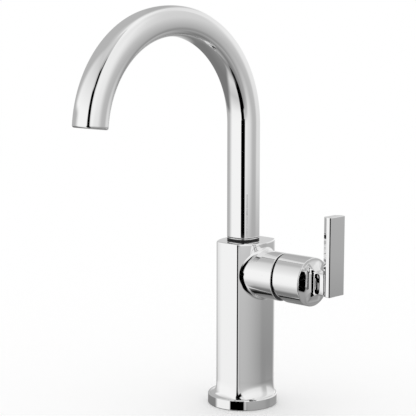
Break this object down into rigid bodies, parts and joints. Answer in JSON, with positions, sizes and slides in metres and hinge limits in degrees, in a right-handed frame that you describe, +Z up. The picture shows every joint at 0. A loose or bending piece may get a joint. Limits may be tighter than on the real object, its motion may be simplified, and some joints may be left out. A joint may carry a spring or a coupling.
{
  "type": "gooseneck bar faucet",
  "caption": "Single-lever deck faucet: round base, flat-fronted column, swivelling gooseneck spout, and a side valve whose upright blade lever tilts for flow and turns for temperature.",
  "frame": {"origin": "axis of the mounting stud's hole at the plane where the base stands on the deck; the spout turns about this axis", "axes": "+Z up, the spout reaches toward -Y, the valve and its lever are on the +X side"},
  "size_m": [0.1329, 0.2125, 0.3378],
  "materials": {
    "chrome_brass": "polished chrome plate on brass",
    "chrome_zinc": "polished chrome plate on zinc",
    "brass": "machined",
    "copper": "drawn copper tube",
    "steel": "stainless",
    "black_plastic": "moulded",
    "white_plastic": "moulded",
    "ceramic": "lapped ceramic",
    "rubber": "matt"
  },
  "bodies": {
    "column": {"base_ring": "chrome_brass", "body": "chrome_brass", "base_insert": "brass", "base_gasket": "rubber", "insert_screws": "steel", "valve_block": "brass", "inlet_tubes": "copper", "spout_post": "brass", "post_seals": "rubber", "post_clip": "steel", "cartridge_base": "white_plastic", "cartridge_seals": "rubber", "cartridge_shell": "white_plastic", "seat_disc": "ceramic", "bonnet_nut": "brass", "bonnet_cap": "chrome_brass"},
    "spout": {"spout_tube": "chrome_brass", "spout_seat": "brass", "low_ring": "black_plastic", "mid_ring": "chrome_brass", "top_ring": "black_plastic", "outlet_ring": "chrome_brass", "aerator_shell": "chrome_brass", "aerator_core": "white_plastic", "aerator_screen": "steel", "aerator_washer": "rubber"},
    "carrier": {"cartridge_yoke": "white_plastic", "yoke_pin": "steel"},
    "discs": {"turn_disc": "ceramic", "disc_holder": "white_plastic"},
    "lever": {"cartridge_stem": "steel", "handle_hub": "chrome_zinc", "grub_screw": "steel", "lever_blade": "chrome_zinc", "lever_screw": "steel"}
  },
  "joints": [
    {"name": "spout_swivel", "type": "hinge", "parent": "column", "child": "spout", "pos_m": [0, 0, 0.15], "axis": [0, 0, 1], "continuous": true},
    {"name": "temperature_turn", "type": "hinge", "parent": "column", "child": "carrier", "pos_m": [0.038, 0, 0.1158], "axis": [1, 0, 0], "range_deg": [-40, 40]},
    {"name": "lever_tilt", "type": "hinge", "parent": "carrier", "child": "lever", "pos_m": [0.038, 0, 0.1158], "axis": [0, 1, 0], "range_deg": [0, 18]},
    {"name": "disc_slide", "type": "slide", "parent": "carrier", "child": "discs", "axis": [0, 0, 1], "range_m": [0, 0.0026]}
  ],
  "couplings": [
    {"joint": "disc_slide", "follows": "lever_tilt", "m_per_rad": 0.008}
  ]
}
